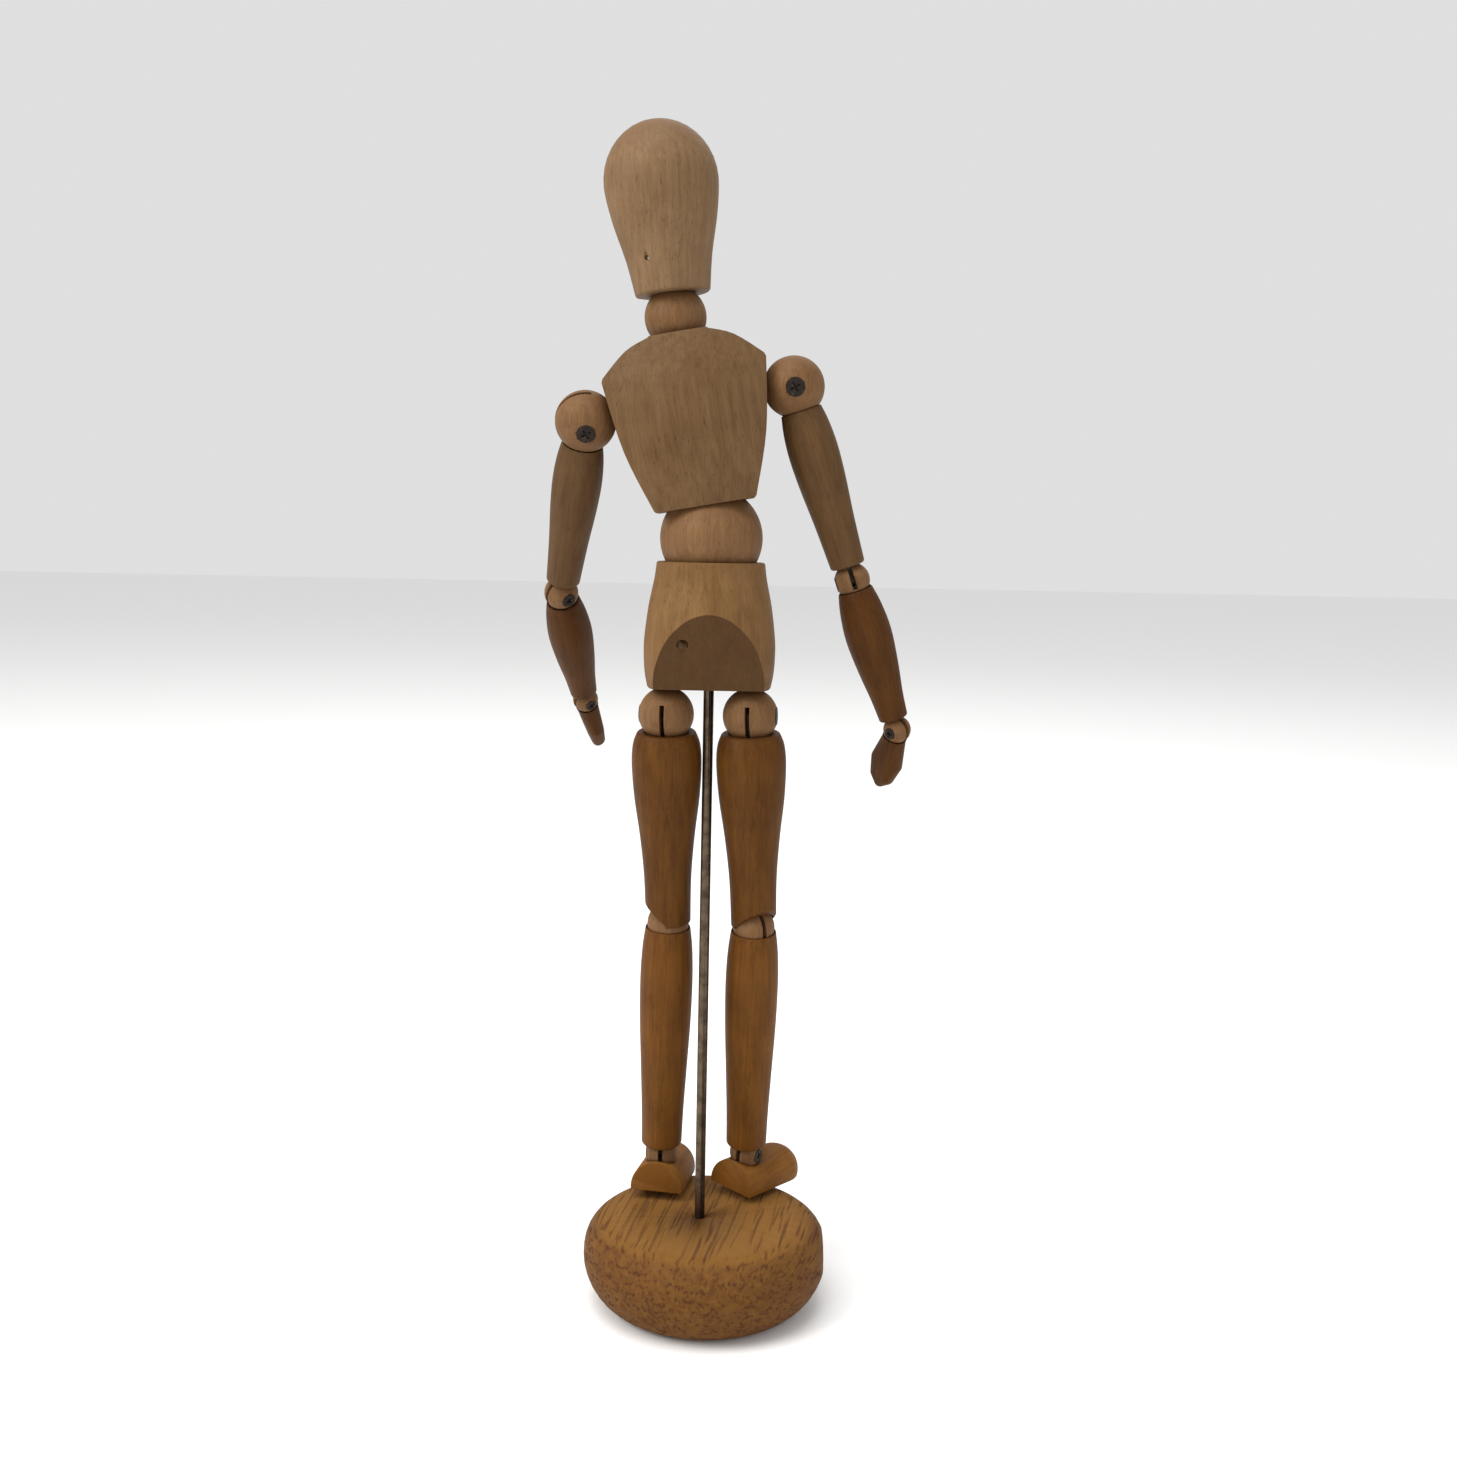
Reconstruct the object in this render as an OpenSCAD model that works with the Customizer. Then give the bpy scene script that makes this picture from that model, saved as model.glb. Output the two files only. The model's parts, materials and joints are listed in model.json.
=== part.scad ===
// Jointed wooden lay figure on a steel rod and a turned base.
// The origin is where the rod's axis meets the underside of the base; the figure faces +Y.

/* [Stand] */
// Thickness of the base
base_thickness = 26; // [18:0.5:40]
// Widest radius of the base
base_radius = 37; // [33:0.5:60]
// Diameter of the steel rod
rod_diameter = 3; // [2:0.1:3.4]

/* [Torso] */
// Height of the pelvis block's underside above the table
pelvis_bottom = 187.8; // [185:0.1:200]
// Height of the pelvis block
pelvis_height = 36.6; // [34:0.1:40]
// Widest radius of the pelvis block
pelvis_radius = 19.1; // [18.5:0.1:21]
// Radius of the waist ball
waist_radius = 14.8; // [13.5:0.1:15.2]
// Half width of the chest across the shoulders
chest_half_width = 23.4; // [22:0.1:25]
// Thickness of the chest from back to front
chest_depth = 31; // [26:0.5:36]
// Radius of the neck ball
neck_radius = 8.8; // [8:0.1:9.2]
// Length of the head from its neck end to its crown
head_length = 47.8; // [44:0.1:56]
// Widest radius of the head
head_radius = 16.2; // [14:0.1:18]

/* [Arms] */
// Radius of a shoulder ball
shoulder_radius = 8.8; // [8:0.1:9]
// Distance from the shoulder joint to the elbow joint
upper_arm_length = 58; // [52:0.5:66]
// Distance from the elbow joint to the wrist joint
forearm_length = 47; // [42:0.5:54]
// Distance from the wrist joint to the finger tip
hand_length = 22.5; // [20:0.5:28]

/* [Legs] */
// Radius of a hip ball
hip_radius = 8.1; // [7.6:0.1:8.4]
// Distance from the hip joint to the knee joint
thigh_length = 65; // [62:0.5:66]
// Distance from the knee joint to the ankle joint
shin_length = 76.5; // [70:0.5:77]
// Length of a foot from heel to toe
foot_length = 30; // [26:0.5:34]

/* [Joint fittings] */
// Thickness of the steel tongues
tongue_thickness = 1; // [0.6:0.1:1.1]
// Width of the saw slots in the balls
slot_width = 1.3; // [1.2:0.05:1.6]

/* [Hidden] */

$fn = 64;
LEFT = -1;
RIGHT = 1;

// Rest pose, in degrees
chest_lean = 10.3;
head_turn = 60;
neck_tilt = 1.6;
head_nod = 2.8;
neck_straighten = norm([neck_tilt, head_nod]);
// shoulder swing, shoulder lift, elbow plane, elbow bend, forearm turn, wrist bend, hand turn
left_arm_pose = [30, 18.5, -60, 19, 0, 3, 80];
right_arm_pose = [5, -8.4, 0, 1, 45, 38, 0];
// hip splay, hip turn, thigh swing, knee plane, knee bend, shin turn, ankle bend, foot turn
left_leg_pose = [0, -8, 7.3, -82, -2.1, 88, -11, -8];
right_leg_pose = [-1.4, -8, 5.2, 40, 5, -64.6, -9.2, -8];

// Clearances
cup_gap = 0.3;
running_fit = 0.05;
seat_fit = 0.02;

// Base: the disc stands a little off the rod's axis and has one slight flat on its rim
base_centre = [1.8, 1.5];
base_widest_height = 14.7;
base_top_radius = base_radius - 9.5;
base_foot_radius = base_radius - 11.5;
base_flat_reach = base_radius - 1.3;
base_shoulder_power = 2 / 2.4;
base_belly_power = 2 / 1.8;
rod_radius = rod_diameter / 2;
rod_socket_depth = 18;
rod_in_pelvis = 14;

// Torso
pelvis_top = pelvis_bottom + pelvis_height;
waist_above_pelvis = 6.8;
waist_centre = [0, 0, pelvis_top + waist_above_pelvis];
facet_angle = 24;
facet_reach = 8.2;
plug_place = [-7.5, 201];
chest_bottom = 9.4;
chest_seat = 58;
chest_shoulder = 48.4;
chest_waist_half = 14.6;
chest_face_radius = 45;
spring_bore = 3.6;
spring_radius = 2.3;
spring_wire = 0.4;
spring_bow = 0.4;
waist_spring_length = 40;
neck_spring_length = 28;
neck_height = 62.9;
head_bottom = 6.4;
head_neck_end = 10.7;
head_dome = 17;
face_cut = 1.9;
pin_height = 15.6;
pin_radius = 0.7;

// Shoulders, in the chest's frame
shoulder_reach = 30.1;
shoulder_height = 38.5;
stud_radius = 1.2;
stud_stop = 4.2;

// Hips, in the pelvis's frame
hip_reach = 12.3;
hip_height = pelvis_bottom - 7.9;

// Balls, tongues and screws further down the limbs
elbow_radius = 5.2;
wrist_radius = 4.1;
knee_radius = 6.3;
ankle_radius = 5.05;
// eye radius of the tongue, shank radius of the screw, head radius of the screw
large_fitting = [3, 1.2, 2.65];
knee_fitting = [2.4, 1, 2.2];
small_fitting = [2, 0.9, 2.1];
wrist_fitting = [1.7, 0.8, 1.7];
spigot_radius = 1.5;
spigot_length = 6;

// Where each limb starts below and ends above its own joints
arm_rim = 6.5;
arm_end = 4.4;
forearm_rim = 2.9;
forearm_end = 3.6;
hand_rim = 2.7;
thigh_rim = 5.2;
thigh_end = 0.5;
shin_rim = 0.9;
shin_end = 3.4;
foot_top = 1.7;
foot_height = 9.2;
foot_radius = 8.15;
heel_reach = 6;

// A smooth curve through a few points
function blend(a, b, c, d, t) = 0.5 * (2 * b + (c - a) * t + (2 * a - 5 * b + 4 * c - d) * t * t
    + (3 * b - a - 3 * c + d) * t * t * t);
function smooth(points, steps) = concat(
    [for (i = [0 : len(points) - 2])
        for (j = [0 : steps - 1])
            blend(points[max(i - 1, 0)], points[i], points[i + 1],
                points[min(i + 2, len(points) - 1)], j / steps)],
    [points[len(points) - 1]]);

// A turned limb that hangs from the origin; each point is [distance down, radius]
module turned(points, easing = 0.4) {
    first = points[0];
    last = points[len(points) - 1];
    profile = concat([[first[0], 0], [first[0], first[1] - easing]],
        smooth([for (i = [0 : len(points) - 1]) i == 0 ? [first[0] + easing, first[1]]
            : i == len(points) - 1 ? [last[0] - easing, last[1]] : points[i]], 4),
        [[last[0], last[1] - easing], [last[0], 0]]);
    rotate_extrude()
        polygon([for (p = profile) [p[1], -p[0]]]);
}

// Steel tongue in the plane x = 0, with its eye at the origin and its blade running down
module tongue(fitting, length) {
    color("slategray")
        rotate([90, 0, 90])
            linear_extrude(tongue_thickness, center = true)
                difference() {
                    union() {
                        circle(fitting[0]);
                        translate([-fitting[0], -length])
                            square([2 * fitting[0], length]);
                    }
                    circle(fitting[1] + running_fit);
                }
}

// Steel link through a whole limb: a tongue at each end of a round rod
link_radius = 1.2;
link_lap = 3;
module link(length, top, top_depth, bottom, bottom_depth, plane) {
    tongue(top, top_depth);
    translate([0, 0, -length])
        rotate([180, 0, plane])
            tongue(bottom, bottom_depth);
    color("slategray")
        link_rod(length, top_depth, bottom_depth, link_radius);
}
module link_pocket(length, top, top_depth, bottom, bottom_depth, plane) {
    tongue_pocket(top, top_depth);
    translate([0, 0, -length])
        rotate([180, 0, plane])
            tongue_pocket(bottom, bottom_depth);
    link_rod(length, top_depth - seat_fit, bottom_depth - seat_fit, link_radius + seat_fit);
}
module link_rod(length, top_depth, bottom_depth, radius) {
    translate([0, 0, bottom_depth - link_lap - length])
        cylinder(h = length - top_depth - bottom_depth + 2 * link_lap, r = radius);
}

// Pocket for a tongue's blade, from just inside the limb's end
module tongue_pocket(fitting, length) {
    translate([-tongue_thickness / 2 - seat_fit, -fitting[0] - seat_fit, -length - seat_fit])
        cube([tongue_thickness + 2 * seat_fit, 2 * (fitting[0] + seat_fit), length]);
}

// Pivot screw along x, with its cross-slotted head at +x just under the ball's surface
function head_face(radius, fitting) = sqrt(radius * radius - fitting[2] * fitting[2]) + 0.15;
head_thickness = 1.2;
module pivot_screw(radius, fitting) {
    face = head_face(radius, fitting);
    color([0.16, 0.12, 0.1])
        difference() {
            rotate([0, 90, 0])
                union() {
                    translate([0, 0, -0.75 * radius])
                        cylinder(h = 0.75 * radius + face - head_thickness / 2, r = fitting[1]);
                    translate([0, 0, face - head_thickness])
                        cylinder(h = head_thickness, r = fitting[2]);
                }
            for (turn = [20, 110])
                translate([face, 0, 0])
                    rotate([turn, 0, 0])
                        cube([1.2, 2.4 * fitting[1], 0.5], center = true);
        }
}
module screw_hole(radius, fitting) {
    face = head_face(radius, fitting);
    rotate([0, 90, 0]) {
        translate([0, 0, -0.75 * radius - 0.1])
            cylinder(h = 0.75 * radius + face, r = fitting[1] + seat_fit);
        translate([0, 0, face - head_thickness - seat_fit])
            cylinder(h = head_thickness + radius, r = fitting[2] + seat_fit);
    }
}

// Wooden ball with a saw slot open to -z and a pivot screw across it
module slotted_ball(radius, fitting, screw_side) {
    slot_top = fitting[0] + 0.2;
    difference() {
        sphere(radius);
        translate([-slot_width / 2, -radius - 1, -radius - 1])
            cube([slot_width, 2 * radius + 2, radius + 1 + slot_top]);
        rotate([0, 0, screw_side])
            screw_hole(radius, fitting);
    }
}

// Ball whose slot opens upwards and whose spigot enters the limb below
module spigot_ball(radius, fitting, screw_side) {
    color("burlywood")
        union() {
            rotate([180, 0, 0])
                slotted_ball(radius, fitting, screw_side);
            translate([0, 0, -radius - spigot_length + 1.5])
                cylinder(h = spigot_length, r = spigot_radius);
        }
}
module spigot_screw(radius, fitting, screw_side) {
    rotate([180, 0, screw_side == 0 ? 0 : 180])
        pivot_screw(radius, fitting);
}

// Cup and bore that a limb needs to sit on the ball above it
module ball_socket(radius) {
    sphere(radius + cup_gap);
    translate([0, 0, -radius - spigot_length - 0.3])
        cylinder(h = radius + spigot_length, r = spigot_radius + running_fit);
}

// Frames: each places its children in one body's own frame
module in_chest() {
    translate(waist_centre)
        rotate([0, -chest_lean, 0])
            children();
}
module in_neck() {
    in_chest()
        translate([0, 0, neck_height])
            rotate([0, 0, head_turn])
                rotate([0, neck_tilt, 0])
                    children();
}
module in_head() {
    in_neck()
        rotate([head_nod, 0, 0])
            children();
}
module in_shoulder_ball(side, pose) {
    in_chest()
        translate([side * shoulder_reach, 0, shoulder_height])
            rotate([pose[0], 0, 0])
                children();
}
module in_upper_arm(side, pose) {
    in_shoulder_ball(side, pose)
        rotate([0, pose[1], 0])
            children();
}
module in_elbow_plane(side, pose) {
    in_upper_arm(side, pose)
        translate([0, 0, -upper_arm_length])
            rotate([0, 0, pose[2]])
                children();
}
module in_elbow_ball(side, pose) {
    in_elbow_plane(side, pose)
        rotate([pose[3], 0, 0])
            children();
}
module in_forearm(side, pose) {
    in_elbow_ball(side, pose)
        rotate([0, 0, pose[4]])
            children();
}
module in_wrist_plane(side, pose) {
    in_forearm(side, pose)
        translate([0, 0, -forearm_length])
            children();
}
module in_wrist_ball(side, pose) {
    in_wrist_plane(side, pose)
        rotate([pose[5], 0, 0])
            children();
}
module in_hand(side, pose) {
    in_wrist_ball(side, pose)
        rotate([0, 0, pose[6]])
            children();
}
module in_hip_stud(side, pose) {
    translate([side * hip_reach, 0, hip_height])
        rotate([0, pose[0], 0])
            children();
}
module in_hip_ball(side, pose) {
    in_hip_stud(side, pose)
        rotate([0, 0, pose[1]])
            children();
}
module in_thigh(side, pose) {
    in_hip_ball(side, pose)
        rotate([pose[2], 0, 0])
            children();
}
module in_knee_plane(side, pose) {
    in_thigh(side, pose)
        translate([0, 0, -thigh_length])
            rotate([0, 0, pose[3]])
                children();
}
module in_knee_ball(side, pose) {
    in_knee_plane(side, pose)
        rotate([pose[4], 0, 0])
            children();
}
module in_shin(side, pose) {
    in_knee_ball(side, pose)
        rotate([0, 0, pose[5]])
            children();
}
module in_ankle_plane(side, pose) {
    in_shin(side, pose)
        translate([0, 0, -shin_length])
            children();
}
module in_ankle_ball(side, pose) {
    in_ankle_plane(side, pose)
        rotate([pose[6], 0, 0])
            children();
}
module in_foot(side, pose) {
    in_ankle_ball(side, pose)
        rotate([0, 0, pose[7]])
            children();
}

// Stand
module base() {
    steps = 9;
    shoulder = [for (i = [0 : steps]) let (a = 90 - 90 * i / steps)
        [base_top_radius + (base_radius - base_top_radius) * pow(cos(a), base_shoulder_power),
            base_widest_height
                + (base_thickness - base_widest_height) * pow(sin(a), base_shoulder_power)]];
    belly = [for (i = [1 : steps]) let (a = 90 * i / steps)
        [base_foot_radius + (base_radius - base_foot_radius) * pow(cos(a), base_belly_power),
            base_widest_height * (1 - pow(sin(a), base_belly_power))]];
    color("peru")
        difference() {
            translate(base_centre)
                difference() {
                    rotate_extrude($fn = 96)
                        polygon(concat([[0, base_thickness]], shoulder, belly, [[0, 0]]));
                    translate([base_flat_reach, -base_radius, -1])
                        cube([base_radius, 2 * base_radius, base_thickness + 2]);
                }
            translate([0, 0, base_thickness - rod_socket_depth])
                cylinder(h = rod_socket_depth + 1, r = rod_radius + seat_fit);
        }
}
module rod() {
    bottom = base_thickness - rod_socket_depth;
    color("dimgray")
        translate([0, 0, bottom])
            cylinder(h = pelvis_bottom + rod_in_pelvis - bottom, r = rod_radius);
}

// Torso
module facet(direction) {
    rotate([0, 0, direction])
        translate([0, facet_reach, pelvis_bottom])
            rotate([-facet_angle, 0, 0])
                translate([-30, 0, -30])
                    cube([60, 30, 60]);
}
module pelvis() {
    widest = pelvis_radius;
    color("tan")
        difference() {
            translate([0, 0, pelvis_top])
                turned([[0, 15.7], [5, 16.3], [13, widest - 1.2], [22, widest - 0.1],
                    [27, widest], [32, widest - 0.3], [pelvis_height, widest - 1.1]]);
            for (direction = [0, 180])
                facet(direction);
            translate(waist_centre)
                sphere(waist_radius + cup_gap);
            translate([0, 0, waist_centre[2] - waist_spring_length / 2 - 0.6])
                cylinder(h = waist_spring_length, r = spring_bore);
            translate([0, 0, pelvis_bottom - 1])
                cylinder(h = rod_in_pelvis + 1.2, r = rod_radius + running_fit);
            translate([plug_place[0], -pelvis_radius, plug_place[1]])
                rotate([-90, 0, 0])
                    cylinder(h = pelvis_radius - 2, r = 1.7 + seat_fit);
            for (side = [LEFT, RIGHT])
                in_hip_stud(side, side == LEFT ? left_leg_pose : right_leg_pose) {
                    sphere(hip_radius + cup_gap);
                    cylinder(h = 16, r = stud_radius + seat_fit);
                }
        }
}
module pelvis_screw() {
    depth = 9;
    inner = 4.6;
    color("saddlebrown")
        translate([plug_place[0], -depth - inner, plug_place[1]])
            rotate([-90, 0, 0])
                cylinder(h = depth, r = 1.7);
}
module waist_ball() {
    color("burlywood")
        difference() {
            translate(waist_centre)
                sphere(waist_radius);
            translate(waist_centre)
                rotate([0, -chest_lean / 2, 0])
                    cylinder(h = 2 * waist_radius + 2, r = spring_bore, center = true);
        }
}
module chest_outline() {
    half = chest_half_width;
    side_edge = concat([[chest_waist_half - 0.5, chest_bottom]],
        smooth([[chest_waist_half, chest_bottom + 0.5], [chest_waist_half + 5.6, chest_bottom + 18],
            [half, chest_shoulder - 0.8]], 5),
        smooth([[half - 0.4, chest_shoulder + 0.3], [half - 8, chest_shoulder + 6.6],
            [8.6, chest_seat - 0.4]], 4),
        [[8.2, chest_seat]]);
    polygon(concat(side_edge, [for (i = [len(side_edge) - 1 : -1 : 0])
        [-side_edge[i][0], side_edge[i][1]]]));
}
module chest_face() {
    set_back = chest_face_radius - chest_depth / 2;
    translate([0, -set_back, 0])
        rotate_extrude($fn = 128)
            polygon(concat([[0, chest_bottom - 1]],
                smooth([[chest_face_radius - 3, chest_bottom - 1],
                    [chest_face_radius - 0.6, chest_bottom + 14],
                    [chest_face_radius, chest_bottom + 25],
                    [chest_face_radius - 1.2, chest_bottom + 37],
                    [chest_face_radius - 6.2, chest_seat + 1]], 5),
                [[0, chest_seat + 1]]));
}
module chest() {
    color("wheat")
        in_chest()
            difference() {
                intersection() {
                    rotate([90, 0, 0])
                        linear_extrude(2 * chest_depth, center = true)
                            chest_outline();
                    chest_face();
                    rotate([0, 0, 180])
                        chest_face();
                }
                sphere(waist_radius + cup_gap);
                translate([0, 0, neck_height])
                    sphere(neck_radius + cup_gap);
                cylinder(h = waist_spring_length / 2 + 0.6, r = spring_bore);
                translate([0, 0, neck_height - neck_spring_length / 2 - 0.6])
                    cylinder(h = neck_spring_length, r = spring_bore);
                for (side = [LEFT, RIGHT])
                    translate([side * shoulder_reach, 0, shoulder_height]) {
                        sphere(shoulder_radius + cup_gap);
                        rotate([0, -side * 90, 0])
                            cylinder(h = 16, r = stud_radius + seat_fit);
                    }
            }
}
// Closely wound spring that follows an arc of the given bend towards -x
function spring_point(length, bend, turns, u, v) = let (
        a = bend * u,
        r = length / (bend * PI / 180),
        reach = spring_radius + spring_wire * cos(v),
        out = [reach * cos(360 * turns * u), reach * sin(360 * turns * u)],
        up = spring_wire * sin(v))
    [-r * (1 - cos(a)) + out[0] * cos(a) - up * sin(a), out[1],
        r * sin(a) + out[0] * sin(a) + up * cos(a)];
module bent_spring(length, bend, turns) {
    rings = 14 * turns;
    sides = 6;
    points = [for (i = [0 : rings]) for (j = [0 : sides - 1])
        spring_point(length, bend, turns, i / rings, 360 * j / sides)];
    walls = [for (i = [0 : rings - 1]) for (j = [0 : sides - 1])
        [i * sides + j, (i + 1) * sides + j, (i + 1) * sides + (j + 1) % sides,
            i * sides + (j + 1) % sides]];
    color("silver")
        polyhedron(points, concat(walls, [[for (j = [0 : sides - 1]) j]],
            [[for (j = [sides - 1 : -1 : 0]) rings * sides + j]]), convexity = 10);
}
module waist_spring() {
    translate(waist_centre + [spring_bow, 0, -waist_spring_length / 2])
        bent_spring(waist_spring_length, chest_lean, 22);
}
module neck_spring() {
    in_chest()
        translate([0, 0, neck_height - neck_spring_length / 2])
            bent_spring(neck_spring_length, -neck_straighten, 16);
}
module neck_ball() {
    color("burlywood")
        in_neck()
            difference() {
                sphere(neck_radius);
                cylinder(h = 2 * neck_radius + 2, r = spring_bore, center = true);
            }
}
module head() {
    rim = head_neck_end;
    wide = head_radius;
    dome_start = head_length - head_dome;
    dome = [for (a = [0 : 9 : 90]) [wide * cos(a), dome_start + head_dome * sin(a)]];
    jaw = smooth([[rim, 0.5], [rim + 1.5, 10], [wide - 1.6, dome_start - 11],
        [wide - 0.35, dome_start - 4], dome[0]], 3);
    color("wheat")
        in_head()
            difference() {
                translate([0, 0, head_bottom])
                    rotate_extrude()
                        polygon(concat([[0, 0], [rim - 0.5, 0]], jaw, dome));
                translate([-40, wide - face_cut, head_bottom + dome_start])
                    rotate([-9, 0, 0])
                        translate([0, 0, -60])
                            cube([80, 40, 100]);
                sphere(neck_radius + cup_gap);
                cylinder(h = neck_spring_length / 2 + 0.6, r = spring_bore);
                translate([0, 0, pin_height])
                    rotate([0, 90, 0])
                        cylinder(h = 60, r = pin_radius + seat_fit, center = true);
            }
}
module head_pin() {
    color("silver")
        in_head()
            translate([0, 0, pin_height])
                rotate([0, 90, 0])
                    cylinder(h = 22, r = pin_radius, center = true);
}

// Arms
module shoulder_ball(side, pose) {
    color("burlywood")
        in_shoulder_ball(side, pose)
            difference() {
                rotate([0, -side * 90, 0])
                    rotate([0, 0, 90])
                        slotted_ball(shoulder_radius, large_fitting, 180);
                translate([-side * shoulder_radius, 0, 0])
                    rotate([0, side * 90, 0])
                        cylinder(h = shoulder_radius - stud_stop + 0.2, r = stud_radius + running_fit);
            }
}
module shoulder_screw(side, pose) {
    in_shoulder_ball(side, pose)
        rotate([0, side * 90, 0])
            rotate([0, 0, -90])
                pivot_screw(shoulder_radius, large_fitting);
}
module shoulder_stud(side) {
    inner = 15;
    color("silver")
        in_chest()
            translate([side * inner, 0, shoulder_height])
                rotate([0, side * 90, 0])
                    cylinder(h = shoulder_reach - stud_stop - inner, r = stud_radius);
}
module upper_arm(side, pose) {
    length = upper_arm_length;
    color("tan")
        in_upper_arm(side, pose)
            difference() {
                turned([[arm_rim, 5.9], [12, 6.8], [19, 7.25], [28, 6.9], [40, 5.9],
                    [length - arm_end, 5.1]]);
                sphere(shoulder_radius + cup_gap);
                translate([0, 0, -length])
                    sphere(elbow_radius + cup_gap);
                rotate([0, 0, 90])
                    link_pocket(length, large_fitting, 15, small_fitting, 12, pose[2] - 90);
            }
}
module arm_link(side, pose) {
    in_upper_arm(side, pose)
        rotate([0, 0, 90])
            link(upper_arm_length, large_fitting, 15, small_fitting, 12, pose[2] - 90);
}
module forearm(side, pose) {
    length = forearm_length;
    color("tan")
        in_forearm(side, pose)
            difference() {
                turned([[forearm_rim, 5.15], [9, 6.3], [17, 6.9], [27, 6.1], [36, 4.9],
                    [length - forearm_end, 4.3]]);
                ball_socket(elbow_radius);
                translate([0, 0, -length]) {
                    sphere(wrist_radius + cup_gap);
                    rotate([180, 0, 0])
                        tongue_pocket(wrist_fitting, 10);
                }
            }
}
module wrist_tongue(side, pose) {
    in_wrist_plane(side, pose)
        rotate([180, 0, 0])
            tongue(wrist_fitting, 10);
}
module hand(side, pose) {
    thickness = 2.3;
    color("tan")
        in_hand(side, pose)
            difference() {
                hull() {
                    translate([0, 0, -hand_rim - 0.3])
                        cylinder(h = 0.6, r = 3.5, center = true, $fn = 32);
                    for (y = [-2.6, 2.6])
                        translate([0, y, -12.5])
                            sphere(thickness + 0.4, $fn = 32);
                    for (y = [-1.8, 1.8])
                        translate([0, y, -18])
                            sphere(thickness, $fn = 32);
                    translate([0, 0, -hand_length + 1.9])
                        sphere(1.9, $fn = 32);
                }
                ball_socket(wrist_radius);
            }
}

// Legs
module hip_ball(side, pose) {
    color("burlywood")
        in_hip_ball(side, pose)
            difference() {
                slotted_ball(hip_radius, large_fitting, side == LEFT ? 180 : 0);
                translate([0, 0, stud_stop - 0.2])
                    cylinder(h = hip_radius, r = stud_radius + running_fit);
            }
}
module hip_screw(side, pose) {
    in_hip_ball(side, pose)
        rotate([0, 0, side == LEFT ? 180 : 0])
            pivot_screw(hip_radius, large_fitting);
}
module hip_stud(side, pose) {
    color("silver")
        in_hip_stud(side, pose)
            translate([0, 0, stud_stop])
                cylinder(h = 11, r = stud_radius);
}
module thigh(side, pose) {
    length = thigh_length;
    color("tan")
        in_thigh(side, pose)
            difference() {
                turned([[thigh_rim, 8.7], [9, 9.9], [15, 10.3], [25, 9.7], [37, 8.2],
                    [50, 7.1], [length - thigh_end, 6.8]]);
                sphere(hip_radius + cup_gap);
                link_pocket(length, large_fitting, 15, knee_fitting, 15, pose[3]);
                translate([0, 0, -length])
                    rotate([0, 0, pose[3]]) {
                        sphere(knee_radius + cup_gap);
                        translate([-20, 0, 1])
                            rotate([-40, 0, 0])
                                translate([0, -30, -30])
                                    cube([40, 30, 30]);
                    }
            }
}
module leg_link(side, pose) {
    in_thigh(side, pose)
        link(thigh_length, large_fitting, 15, knee_fitting, 15, pose[3]);
}
module shin(side, pose) {
    length = shin_length;
    color("tan")
        in_shin(side, pose)
            difference() {
                turned([[shin_rim, 6.8], [8, 7.6], [18, 8], [32, 7.8], [48, 7.1], [62, 6.5],
                    [length - shin_end, 6.25]]);
                ball_socket(knee_radius);
                translate([0, 0, -length]) {
                    sphere(ankle_radius + cup_gap);
                    rotate([180, 0, 0])
                        tongue_pocket(small_fitting, 13);
                }
            }
}
module ankle_tongue(side, pose) {
    in_ankle_plane(side, pose)
        rotate([180, 0, 0])
            tongue(small_fitting, 13);
}
module foot(side, pose) {
    sole = -foot_top - foot_height;
    axis_height = sole + foot_height - foot_radius;
    toe = foot_length - heel_reach;
    toe_round = 9;
    color("tan")
        in_foot(side, pose)
            difference() {
                translate([0, -heel_reach, axis_height])
                    rotate([-90, 0, 0])
                        rotate_extrude()
                            polygon(concat([[0, 0], [foot_radius - 0.3, 0], [foot_radius, 0.3]],
                                [for (a = [0 : 9 : 90]) [foot_radius * cos(a),
                                    foot_length - toe_round + toe_round * sin(a)]]));
                translate([-20, -20, sole - 20])
                    cube([40, 20 + toe + 10, 20]);
                ball_socket(ankle_radius);
            }
}

base();
rod();
pelvis();
pelvis_screw();
waist_spring();
waist_ball();
chest();
neck_spring();
neck_ball();
head();
head_pin();
shoulder_ball(LEFT, left_arm_pose);  // left_shoulder_ball
shoulder_screw(LEFT, left_arm_pose);  // left_shoulder_screw
shoulder_stud(LEFT);  // left_shoulder_stud
upper_arm(LEFT, left_arm_pose);  // left_upper_arm
arm_link(LEFT, left_arm_pose);  // left_arm_link
in_elbow_ball(LEFT, left_arm_pose) spigot_ball(elbow_radius, small_fitting, 0);  // left_elbow_ball
in_elbow_ball(LEFT, left_arm_pose) spigot_screw(elbow_radius, small_fitting, 0);  // left_elbow_screw
forearm(LEFT, left_arm_pose);  // left_forearm
wrist_tongue(LEFT, left_arm_pose);  // left_wrist_tongue
in_wrist_ball(LEFT, left_arm_pose) spigot_ball(wrist_radius, wrist_fitting, 0);  // left_wrist_ball
in_wrist_ball(LEFT, left_arm_pose) spigot_screw(wrist_radius, wrist_fitting, 0);  // left_wrist_screw
hand(LEFT, left_arm_pose);  // left_hand
shoulder_ball(RIGHT, right_arm_pose);  // right_shoulder_ball
shoulder_screw(RIGHT, right_arm_pose);  // right_shoulder_screw
shoulder_stud(RIGHT);  // right_shoulder_stud
upper_arm(RIGHT, right_arm_pose);  // right_upper_arm
arm_link(RIGHT, right_arm_pose);  // right_arm_link
in_elbow_ball(RIGHT, right_arm_pose) spigot_ball(elbow_radius, small_fitting, 180);  // right_elbow_ball
in_elbow_ball(RIGHT, right_arm_pose) spigot_screw(elbow_radius, small_fitting, 180);  // right_elbow_screw
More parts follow.
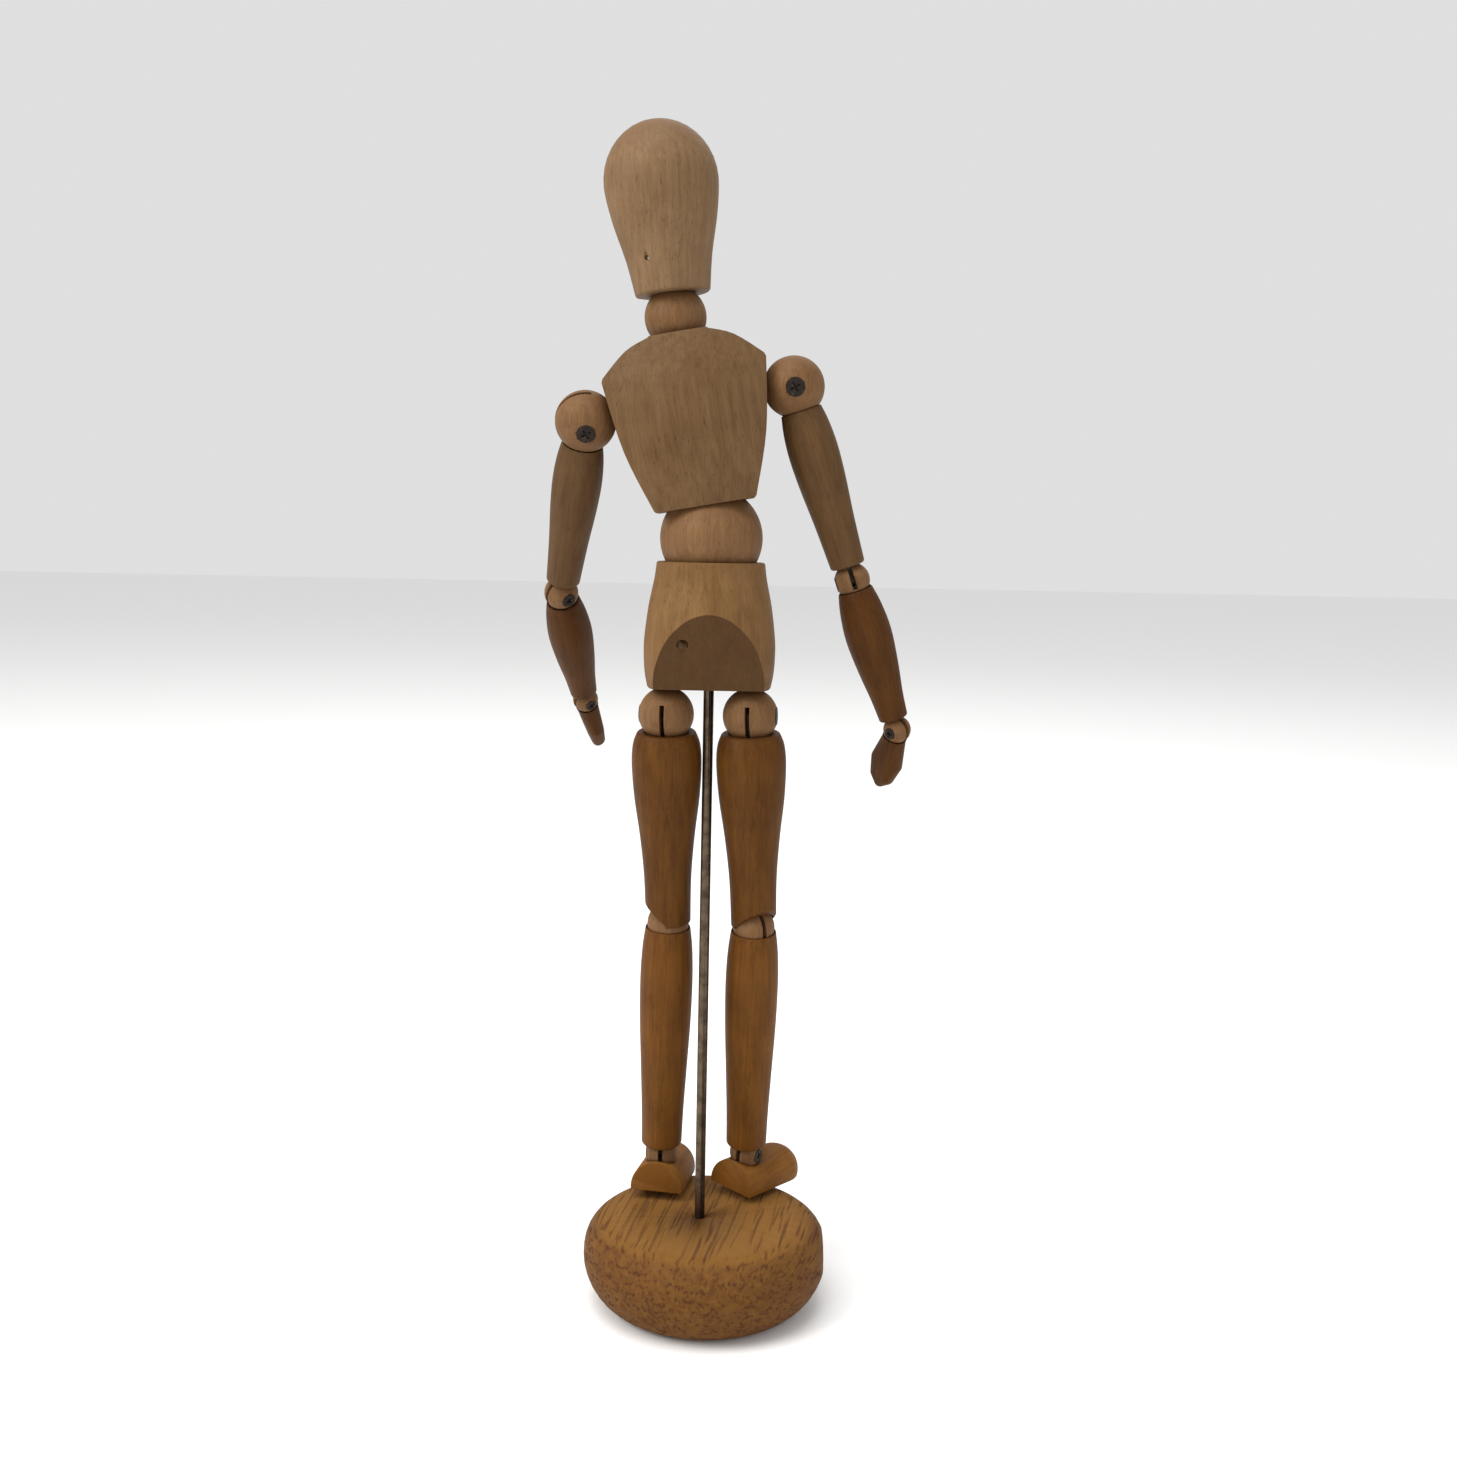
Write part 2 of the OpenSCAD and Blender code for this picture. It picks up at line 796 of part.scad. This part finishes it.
forearm(RIGHT, right_arm_pose);  // right_forearm
wrist_tongue(RIGHT, right_arm_pose);  // right_wrist_tongue
in_wrist_ball(RIGHT, right_arm_pose) spigot_ball(wrist_radius, wrist_fitting, 180);  // right_wrist_ball
in_wrist_ball(RIGHT, right_arm_pose) spigot_screw(wrist_radius, wrist_fitting, 180);  // right_wrist_screw
hand(RIGHT, right_arm_pose);  // right_hand
hip_ball(LEFT, left_leg_pose);  // left_hip_ball
hip_screw(LEFT, left_leg_pose);  // left_hip_screw
hip_stud(LEFT, left_leg_pose);  // left_hip_stud
thigh(LEFT, left_leg_pose);  // left_thigh
leg_link(LEFT, left_leg_pose);  // left_leg_link
in_knee_ball(LEFT, left_leg_pose) spigot_ball(knee_radius, knee_fitting, 180);  // left_knee_ball
in_knee_ball(LEFT, left_leg_pose) spigot_screw(knee_radius, knee_fitting, 180);  // left_knee_screw
shin(LEFT, left_leg_pose);  // left_shin
ankle_tongue(LEFT, left_leg_pose);  // left_ankle_tongue
in_ankle_ball(LEFT, left_leg_pose) spigot_ball(ankle_radius, small_fitting, 180);  // left_ankle_ball
in_ankle_ball(LEFT, left_leg_pose) spigot_screw(ankle_radius, small_fitting, 180);  // left_ankle_screw
foot(LEFT, left_leg_pose);  // left_foot
hip_ball(RIGHT, right_leg_pose);  // right_hip_ball
hip_screw(RIGHT, right_leg_pose);  // right_hip_screw
hip_stud(RIGHT, right_leg_pose);  // right_hip_stud
thigh(RIGHT, right_leg_pose);  // right_thigh
leg_link(RIGHT, right_leg_pose);  // right_leg_link
in_knee_ball(RIGHT, right_leg_pose) spigot_ball(knee_radius, knee_fitting, 0);  // right_knee_ball
in_knee_ball(RIGHT, right_leg_pose) spigot_screw(knee_radius, knee_fitting, 0);  // right_knee_screw
shin(RIGHT, right_leg_pose);  // right_shin
ankle_tongue(RIGHT, right_leg_pose);  // right_ankle_tongue
in_ankle_ball(RIGHT, right_leg_pose) spigot_ball(ankle_radius, small_fitting, 0);  // right_ankle_ball
in_ankle_ball(RIGHT, right_leg_pose) spigot_screw(ankle_radius, small_fitting, 0);  // right_ankle_screw
foot(RIGHT, right_leg_pose);  // right_foot
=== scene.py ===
# Jointed wooden lay figure on a steel rod and a turned oak base: pieces, finishes, light and camera.
import json
import math

import bmesh
import bpy
from mathutils import Matrix, Vector

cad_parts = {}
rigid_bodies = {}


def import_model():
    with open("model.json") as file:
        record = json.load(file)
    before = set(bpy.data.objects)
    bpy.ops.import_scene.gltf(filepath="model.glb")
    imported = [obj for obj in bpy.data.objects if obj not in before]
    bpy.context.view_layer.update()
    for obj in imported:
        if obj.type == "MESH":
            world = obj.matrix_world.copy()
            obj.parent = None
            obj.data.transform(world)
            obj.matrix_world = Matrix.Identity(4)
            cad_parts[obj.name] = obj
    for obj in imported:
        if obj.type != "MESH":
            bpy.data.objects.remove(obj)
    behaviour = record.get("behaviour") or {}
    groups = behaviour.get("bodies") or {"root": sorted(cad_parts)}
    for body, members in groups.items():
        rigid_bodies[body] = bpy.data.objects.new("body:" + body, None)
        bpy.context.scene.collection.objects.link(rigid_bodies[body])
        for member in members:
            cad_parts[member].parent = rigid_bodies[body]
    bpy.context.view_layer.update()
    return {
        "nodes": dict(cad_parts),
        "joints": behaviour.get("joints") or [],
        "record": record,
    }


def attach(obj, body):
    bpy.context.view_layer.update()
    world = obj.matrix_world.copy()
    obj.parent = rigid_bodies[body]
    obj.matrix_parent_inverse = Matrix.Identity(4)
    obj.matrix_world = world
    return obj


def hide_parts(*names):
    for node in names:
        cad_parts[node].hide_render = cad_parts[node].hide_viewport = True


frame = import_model()
joints = frame["joints"]
body_of_node = {node: body for body, nodes in frame["record"]["behaviour"]["bodies"].items()
                for node in nodes}
slot_of_node = {part["node"]: part["material_slot"] for part in frame["record"]["subparts"]}

MM = 0.001


# Shader sums -------------------------------------------------------------------------------

class Wire:
    """A node's output; sums on numbers add Math nodes to its tree."""

    def __init__(self, finish, socket):
        self.finish = finish
        self.socket = socket

    def math(self, operation, first, second=0.0):
        return self.finish.node("ShaderNodeMath", {"operation": operation}, {0: first, 1: second})

    def __add__(self, other):
        return self.math("ADD", self, other)

    __radd__ = __add__

    def __sub__(self, other):
        return self.math("SUBTRACT", self, other)

    def __rsub__(self, other):
        return self.math("SUBTRACT", other, self)

    def __mul__(self, other):
        return self.math("MULTIPLY", self, other)

    __rmul__ = __mul__

    def sine(self):
        return self.math("SINE", self)


class Finish:
    """A material whose nodes are added one by one."""

    def __init__(self, name):
        self.material = bpy.data.materials.new(name)
        self.material.use_nodes = True
        self.tree = self.material.node_tree
        self.shader = self.tree.nodes["Principled BSDF"]

    def node(self, kind, settings=None, inputs=None, output=0):
        made = self.tree.nodes.new(kind)
        for key, value in (settings or {}).items():
            setattr(made, key, value)
        for key, value in (inputs or {}).items():
            self.feed(made.inputs[key], value)
        return Wire(self, made.outputs[output])

    def feed(self, socket, value):
        if isinstance(value, Wire):
            self.tree.links.new(value.socket, socket)
        else:
            socket.default_value = value

    def set(self, **sockets):
        for name, value in sockets.items():
            self.feed(self.shader.inputs[name.replace("_", " ")], value)

    def place(self):
        """Position on the piece, in its own frame."""
        return self.node("ShaderNodeTexCoord", output="Object")

    def stretched(self, vector, scale):
        return self.node("ShaderNodeVectorMath", {"operation": "MULTIPLY"}, {0: vector, 1: scale})

    def noise(self, vector, scale, detail=3.0, roughness=0.55, distortion=0.0):
        return self.node("ShaderNodeTexNoise", {"noise_dimensions": "3D"},
                         {"Vector": vector, "Scale": scale, "Detail": detail,
                          "Roughness": roughness, "Distortion": distortion}, output="Fac")

    def spread(self, value, low, high, to_low=0.0, to_high=1.0):
        """The value's stretch from low to high, spread over another stretch and held inside it."""
        return self.node("ShaderNodeMapRange", {"clamp": True},
                         {"Value": value, "From Min": low, "From Max": high,
                          "To Min": to_low, "To Max": to_high})

    def blend(self, mask, first, second):
        return self.node("ShaderNodeMix", {"data_type": "RGBA"},
                         {"Factor": mask, "A": first, "B": second}, output="Result")

    def relief(self, height, strength, depth):
        return self.node("ShaderNodeBump", None,
                         {"Strength": strength, "Distance": depth, "Height": height}, output="Normal")


def tone(red, green, blue):
    return (red, green, blue, 1.0)


# Finishes ----------------------------------------------------------------------------------

def close_grained_wood(name, pale, deep, stain_and_shade, ring_step=1.9 * MM, heart=(9 * MM, -14 * MM, 0.0),
                       fleck=0.5, painted_shade_below=0.0):
    """Fine, waxed wood with its grain along the piece's own z, with painted shade where it faces down."""
    wood = Finish(name)
    place = wood.place()
    drift = wood.noise(wood.stretched(place, (1, 1, 0.35)), 45.0, 2.0)
    offset = wood.node("ShaderNodeVectorMath", {"operation": "ADD"}, {0: place, 1: heart})
    away = wood.node("ShaderNodeVectorMath", {"operation": "LENGTH"},
                     {0: wood.stretched(offset, (1, 1, 0.07))}, output="Value")
    wave = ((away + drift * (5.5 * MM)) * (2 * math.pi / ring_step)).sine()
    rings = wood.spread(wave, -0.6, 1.0)
    fibre = wood.noise(wood.stretched(place, (1, 1, 0.035)), 1700.0, 4.0, 0.66)
    broad_fibre = wood.noise(wood.stretched(place, (1, 1, 0.05)), 430.0, 3.0, 0.6)
    pores = wood.spread(wood.noise(wood.stretched(place, (1, 1, 0.09)), 3300.0, 2.0, 0.5), 0.63, 0.72)
    cloud = wood.noise(place, 70.0, 3.0, 0.55)
    soil = wood.spread(wood.noise(place, 150.0, 5.0, 0.68, 0.6), 0.58, 0.78)

    depth = rings * 0.1 + fibre * 1.0 + broad_fibre * 1.0 + cloud * 1.0 - 1.1
    colour = wood.blend(wood.spread(depth, 0.0, 0.85), pale, deep)
    colour = wood.blend(pores * fleck, colour, stain_and_shade)
    colour = wood.blend(soil * 0.28, colour, stain_and_shade)
    worn = wood.spread(wood.node("ShaderNodeNewGeometry", output="Pointiness"), 0.52, 0.6)
    colour = wood.blend(worn * 0.25, colour, pale)
    facing = wood.node("ShaderNodeSeparateXYZ", None,
                       {0: wood.node("ShaderNodeTexCoord", output="Normal")}, output="Z")
    cut_ends = wood.spread(facing * facing, 0.1, 0.6)
    colour = wood.blend(cut_ends * 0.55, colour, deep)
    # Painted shade: faces that point down are blended toward the darkest tone, as if they were shaded from
    # light above.
    below = wood.spread(facing, -0.35, -0.15, painted_shade_below, 0.0)
    colour = wood.blend(below, colour, stain_and_shade)
    roughness = 0.47 + fibre * 0.16 + pores * 0.12 + soil * 0.08 - worn * 0.06
    height = fibre * 0.5 + broad_fibre * 0.35 - pores * 0.8 + rings * 0.05
    wood.set(Base_Color=colour, Roughness=roughness,
             Normal=wood.relief(height, 0.32, 0.12 * MM))
    wood.shader.inputs["Specular IOR Level"].default_value = 0.11
    return wood.material


def open_pored_oak(name):
    """Coarse wood of the base, with its grain along the piece's own z, painted light on its upper face and a
    painted shadow colour at its foot.
    """
    oak = Finish(name)
    place = oak.place()
    drift = oak.noise(oak.stretched(place, (1, 1, 0.3)), 28.0, 2.0)
    offset = oak.node("ShaderNodeVectorMath", {"operation": "ADD"}, {0: place, 1: (0.012, -0.055, 0.0)})
    away = oak.node("ShaderNodeVectorMath", {"operation": "LENGTH"},
                    {0: oak.stretched(offset, (1, 1, 0.05))}, output="Value")
    wave = ((away + drift * (9 * MM)) * (2 * math.pi / (3.1 * MM))).sine()
    early = oak.spread(wave, -0.2, 0.9)
    fibre = oak.noise(oak.stretched(place, (1, 1, 0.03)), 1900.0, 4.0, 0.62)
    streak = oak.noise(oak.stretched(place, (1, 1, 0.045)), 520.0, 3.0, 0.6)
    vessels = oak.spread(oak.noise(oak.stretched(place, (1, 1, 0.05)), 950.0, 1.5, 0.45), 0.54, 0.63)
    cloud = oak.noise(place, 38.0, 3.0)
    open_pores = vessels * (0.7 + early * 0.3)
    facing = oak.node("ShaderNodeSeparateXYZ", None,
                      {0: oak.node("ShaderNodeTexCoord", output="Normal")}, output="Y")
    # Painted light: faces whose normal runs along the piece's y, which is vertical, are made paler as if lit
    # from above.
    painted_top_light = oak.spread(facing * facing, 0.6, 0.97)

    # The subtracted last term paints the upward faces lighter.
    depth = early * 0.06 + fibre * 0.5 + streak * 0.9 + cloud * 0.5 - 0.48 - painted_top_light * 0.5
    colour = oak.blend(oak.spread(depth, 0.0, 0.85), tone(0.50, 0.250, 0.036), tone(0.098, 0.038, 0.0024))
    colour = oak.blend(open_pores * 0.85, colour, tone(0.050, 0.019, 0.005))
    # Painted shadow at the foot: a dark brown is blended in where the piece's own y, which runs downward, is
    # under 1.8 mm.
    foot = oak.spread(oak.node("ShaderNodeSeparateXYZ", None, {0: place}, output="Y"), 0.0, 1.8 * MM)
    colour = oak.blend((1 - foot) * 0.75, colour, tone(0.07, 0.025, 0.012))
    worn = oak.spread(oak.node("ShaderNodeNewGeometry", output="Pointiness"), 0.51, 0.58)
    colour = oak.blend(worn * 0.2, colour, tone(0.34, 0.19, 0.07))
    roughness = 0.5 + fibre * 0.2 + open_pores * 0.2
    height = fibre * 0.35 + streak * 0.3 - open_pores * 1.0
    oak.set(Base_Color=colour, Roughness=roughness, Normal=oak.relief(height, 0.55, 0.3 * MM))
    oak.shader.inputs["Specular IOR Level"].default_value = 0.05
    return oak.material


def drawn_steel(name, bright, dull, rust=0.0, roughness=0.3):
    """Drawn or pressed steel with fine lengthwise lines, dull patches and some rust."""
    steel = Finish(name)
    place = steel.place()
    lines = steel.noise(steel.stretched(place, (1, 1, 0.02)), 5200.0, 2.0)
    patches = steel.spread(steel.noise(steel.stretched(place, (1, 1, 0.4)), 240.0, 5.0, 0.65), 0.42, 0.62)
    spots = steel.spread(steel.noise(place, 620.0, 4.0, 0.7), 0.6, 0.7)
    colour = steel.blend(patches, bright, dull)
    colour = steel.blend(spots * rust, colour, tone(0.13, 0.055, 0.025))
    steel.set(Base_Color=colour, Metallic=1 - spots * (rust * 0.8),
              Roughness=roughness + patches * 0.16 + lines * 0.1 + spots * 0.2,
              Normal=steel.relief(lines * 0.4 - spots * 0.5, 0.25, 0.04 * MM))
    return steel.material


def bronzed_screw(name):
    """Dark bronzed screw, worn brighter where a driver has slipped."""
    screw = Finish(name)
    place = screw.place()
    grit = screw.noise(place, 2600.0, 4.0, 0.6)
    rubbed = screw.spread(screw.noise(place, 700.0, 3.0, 0.6), 0.55, 0.7)
    edges = screw.spread(screw.node("ShaderNodeNewGeometry", output="Pointiness"), 0.51, 0.6)
    colour = screw.blend(rubbed * 0.5 + edges * 0.4, tone(0.014, 0.010, 0.008), tone(0.075, 0.048, 0.032))
    screw.set(Base_Color=colour, Metallic=0.2 + edges * 0.3,
              Roughness=0.5 + grit * 0.25 - edges * 0.1,
              Normal=screw.relief(grit, 0.3, 0.05 * MM))
    screw.shader.inputs["Specular IOR Level"].default_value = 0.2
    return screw.material


# Pieces ------------------------------------------------------------------------------------

def joint_named(name):
    return next(joint for joint in joints if joint["name"] == name)


def carrying_joint(body):
    return next((joint for joint in joints if joint["child"] == body), None)


def next_joints(body):
    return [joint for joint in joints if joint["parent"] == body]


def grain_frame(body):
    """A frame at the body's joint whose z runs along the body's grain."""
    carried = carrying_joint(body)
    origin = Vector(carried["pos_m"]) if carried else Vector((0, 0, 0))
    along = Vector((0, 0, 1))
    if carried and carried["name"].endswith("_turn") and body not in ("pelvis", "neck_spring"):
        along = Vector(carried["axis"])
    else:
        for joint in next_joints(body):
            gap = origin - Vector(joint["pos_m"])
            if gap.length > 0.03 and abs(gap.x) < 0.03 and body != "chest":
                along = gap.normalized()
            elif joint["name"].endswith("_turn"):
                along = Vector(joint["axis"])
    if body.endswith("_foot"):
        bend = Vector(joint_named(body.replace("_foot", "_ankle_bend"))["axis"])
        along = along.cross(bend).normalized()
    if body == "head":
        nod = Vector(carried["axis"])
        along = (along - nod * along.dot(nod)).normalized()
    if body == "stand":
        along = Vector((0.17, 0.985, 0.0)).normalized()
        side = Vector((0, 0, 1)).cross(along).normalized() * -1
    else:
        side = Vector((0, 1, 0)).cross(along).normalized()
    across = along.cross(side).normalized()
    turn = Matrix((side, across, along)).transposed().to_4x4()
    return Matrix.Translation(origin) @ turn


def finished_piece(node, material, rounding, sharp=32.0):
    """The node's solid with its edges eased, in its own frame, carrying its own finish."""
    body = body_of_node[node]
    place = grain_frame(body)
    mesh = bpy.data.meshes.new("eased_" + node)
    shape = bmesh.new()
    shape.from_mesh(frame["nodes"][node].data)
    shape.transform(place.inverted())
    bmesh.ops.remove_doubles(shape, verts=shape.verts, dist=2e-6)
    shape.to_mesh(mesh)
    shape.free()
    mesh.polygons.foreach_set("use_smooth", [True] * len(mesh.polygons))
    mesh.set_sharp_from_angle(angle=math.radians(sharp))
    piece = bpy.data.objects.new("eased_" + node, mesh)
    bpy.context.scene.collection.objects.link(piece)
    piece.matrix_world = place
    mesh.materials.append(material)
    if rounding:
        easing = piece.modifiers.new("eased edges", "BEVEL")
        easing.width = rounding
        easing.segments = 3
        easing.limit_method = "ANGLE"
        easing.angle_limit = math.radians(sharp)
        easing.use_clamp_overlap = False
        easing.harden_normals = True
    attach(piece, body)
    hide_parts(node)
    return piece


PALE = (tone(0.208, 0.127, 0.065), tone(0.135, 0.075, 0.034), tone(0.056, 0.028, 0.012))
BISCUIT = (tone(0.150, 0.085, 0.038), tone(0.094, 0.048, 0.018), tone(0.040, 0.019, 0.007))
SALLOW = (tone(0.112, 0.059, 0.023), tone(0.068, 0.032, 0.011), tone(0.028, 0.012, 0.005))
WARM = (tone(0.108, 0.041, 0.0045), tone(0.056, 0.018, 0.0016), tone(0.022, 0.007, 0.001))
UMBER = (tone(0.080, 0.029, 0.0040), tone(0.044, 0.0145, 0.0016), tone(0.018, 0.006, 0.001))
TAWNY = (tone(0.145, 0.056, 0.0070), tone(0.078, 0.026, 0.0028), tone(0.030, 0.010, 0.002))
AMBER = (tone(0.215, 0.090, 0.0150), tone(0.128, 0.047, 0.0065), tone(0.046, 0.016, 0.003))
RUDDY = (tone(0.195, 0.105, 0.046), tone(0.125, 0.060, 0.024), tone(0.048, 0.021, 0.009))
HONEY = (tone(0.195, 0.104, 0.040), tone(0.120, 0.059, 0.019), tone(0.042, 0.017, 0.004))

palettes = {"pale_wood": PALE, "ball_wood": RUDDY, "limb_wood": WARM, "pelvis_wood": HONEY}
hearts = [(9, -14), (-12, 10), (15, 6), (-7, -17), (11, 13), (-16, -4), (5, 18)]


def wood_for(node, count):
    """Each wooden piece is cut from its own place in the plank."""
    palette = {"chest": BISCUIT, "left_upper_arm": SALLOW, "right_upper_arm": SALLOW,
               "left_forearm": UMBER, "right_forearm": UMBER, "left_hand": UMBER, "right_hand": UMBER,
               "left_shin": TAWNY, "right_shin": TAWNY, "left_foot": AMBER, "right_foot": AMBER}
    pale, deep, stain_and_shade = palette.get(node, palettes[slot_of_node[node]])
    across, back = hearts[count % len(hearts)]
    heart = (across * MM, back * MM, 37 * MM * count)
    ring_step = (1.5 + 0.23 * (count % 5)) * MM
    fleck = 0.62 if node in ("head", "chest") else 0.5
    # The pelvis gets painted shade on its downward faces.
    painted_shade_below = 0.74 if node == "pelvis" else 0.0
    return close_grained_wood(node + "_wood", pale, deep, stain_and_shade, ring_step, heart, fleck, painted_shade_below)


wooden = [node for node in body_of_node if slot_of_node[node] in palettes]
easing_of_node = {"pelvis": 0.12 * MM, "chest": 0.1 * MM, "left_foot": 0.0, "right_foot": 0.0}
usual_easing = 0.2 * MM
for count, node in enumerate(sorted(wooden)):
    # The pelvis's flats meet its turned sides at a shallow angle, which still has to show as an edge
    sharp = 9.0 if node == "pelvis" else 32.0
    finished_piece(node, wood_for(node, count), easing_of_node.get(node, usual_easing), sharp)

finished_piece("base", open_pored_oak("base_oak"), 0.0)

steel_finishes = {
    "rod_steel": drawn_steel("rod_steel", tone(0.125, 0.090, 0.060), tone(0.06, 0.042, 0.028), 0.3, 0.27),
    "tongue_steel": drawn_steel("tongue_steel", tone(0.085, 0.072, 0.06), tone(0.038, 0.03, 0.024), 0.5, 0.42),
    "bright_steel": drawn_steel("bright_steel", tone(0.66, 0.64, 0.60), tone(0.42, 0.39, 0.36), 0.3, 0.25),
    "dark_screws": bronzed_screw("dark_screws"),
    "plug_wood": close_grained_wood("plug_wood", tone(0.085, 0.045, 0.018), tone(0.05, 0.025, 0.010),
                                    tone(0.03, 0.014, 0.006)),
}
for node, body in body_of_node.items():
    slot_name = slot_of_node[node]
    if slot_name in steel_finishes:
        finish = steel_finishes[slot_name]
        rounding = 0.08 * MM if slot_name == "dark_screws" else 0.0
        if slot_name in ("bright_steel", "tongue_steel"):
            solid = frame["nodes"][node]
            solid.data.materials.clear()
            solid.data.materials.append(finish)
        else:
            finished_piece(node, finish, rounding)


# Floor, light and camera -------------------------------------------------------------------

def pale_floor():
    mesh = bpy.data.meshes.new("floor")
    reach = 6
    mesh.from_pydata([(-reach, -reach, 0), (reach, -reach, 0), (reach, reach, 0), (-reach, reach, 0)],
                     [], [(0, 1, 2, 3)])
    floor = bpy.data.objects.new("floor", mesh)
    bpy.context.scene.collection.objects.link(floor)
    paper = Finish("floor_paper")
    tooth = paper.noise(paper.place(), 300.0, 3.0)
    paper.set(Base_Color=paper.blend(tooth * 0.1, tone(0.92, 0.92, 0.92), tone(0.86, 0.86, 0.86)),
              Roughness=0.8 + tooth * 0.1)
    mesh.materials.append(paper.material)


def soft_light(name, place, target, size, power, colour):
    lamp = bpy.data.lights.new(name, "AREA")
    lamp.size = size
    lamp.energy = power
    lamp.color = colour
    holder = bpy.data.objects.new(name, lamp)
    bpy.context.scene.collection.objects.link(holder)
    holder.location = place
    holder.rotation_euler = (Vector(target) - Vector(place)).to_track_quat("-Z", "Y").to_euler()


pale_floor()
hips = (0.0, 0.0, 0.2)
soft_light("window", (-1.25, -0.65, 1.2), hips, 0.9, 19.0, (1.0, 0.98, 0.95))
soft_light("ceiling", (-0.25, -0.35, 1.6), hips, 1.0, 15.0, (1.0, 0.99, 0.97))
soft_light("room", (1.1, -0.9, 0.9), hips, 1.2, 2.5, (1.0, 0.98, 0.96))
soft_light("behind", (0.3, 1.2, 1.4), hips, 1.0, 4.0, (1.0, 1.0, 1.0))
world = bpy.data.worlds.new("white_room")
world.use_nodes = True
world.node_tree.nodes["Background"].inputs["Color"].default_value = (1.0, 1.0, 1.0, 1.0)
world.node_tree.nodes["Background"].inputs["Strength"].default_value = 0.74
bpy.context.scene.world = world
bpy.context.scene.view_settings.view_transform = "Standard"

camera = bpy.data.objects.new("camera", bpy.data.cameras.new("camera"))
bpy.context.scene.collection.objects.link(camera)
camera.data.sensor_width = 36.0
camera.data.lens = 39.53
camera.data.clip_start = 0.01
camera.data.clip_end = 50.0
tilt_down = math.radians(7.2)
roll = math.radians(1.1)
camera_place = (0.00597, -0.46446, 0.23467)
camera.matrix_world = (Matrix.Translation(camera_place)
                       @ Matrix.Rotation(math.radians(90) - tilt_down, 4, "X")
                       @ Matrix.Rotation(roll, 4, "Z"))
bpy.context.scene.camera = camera
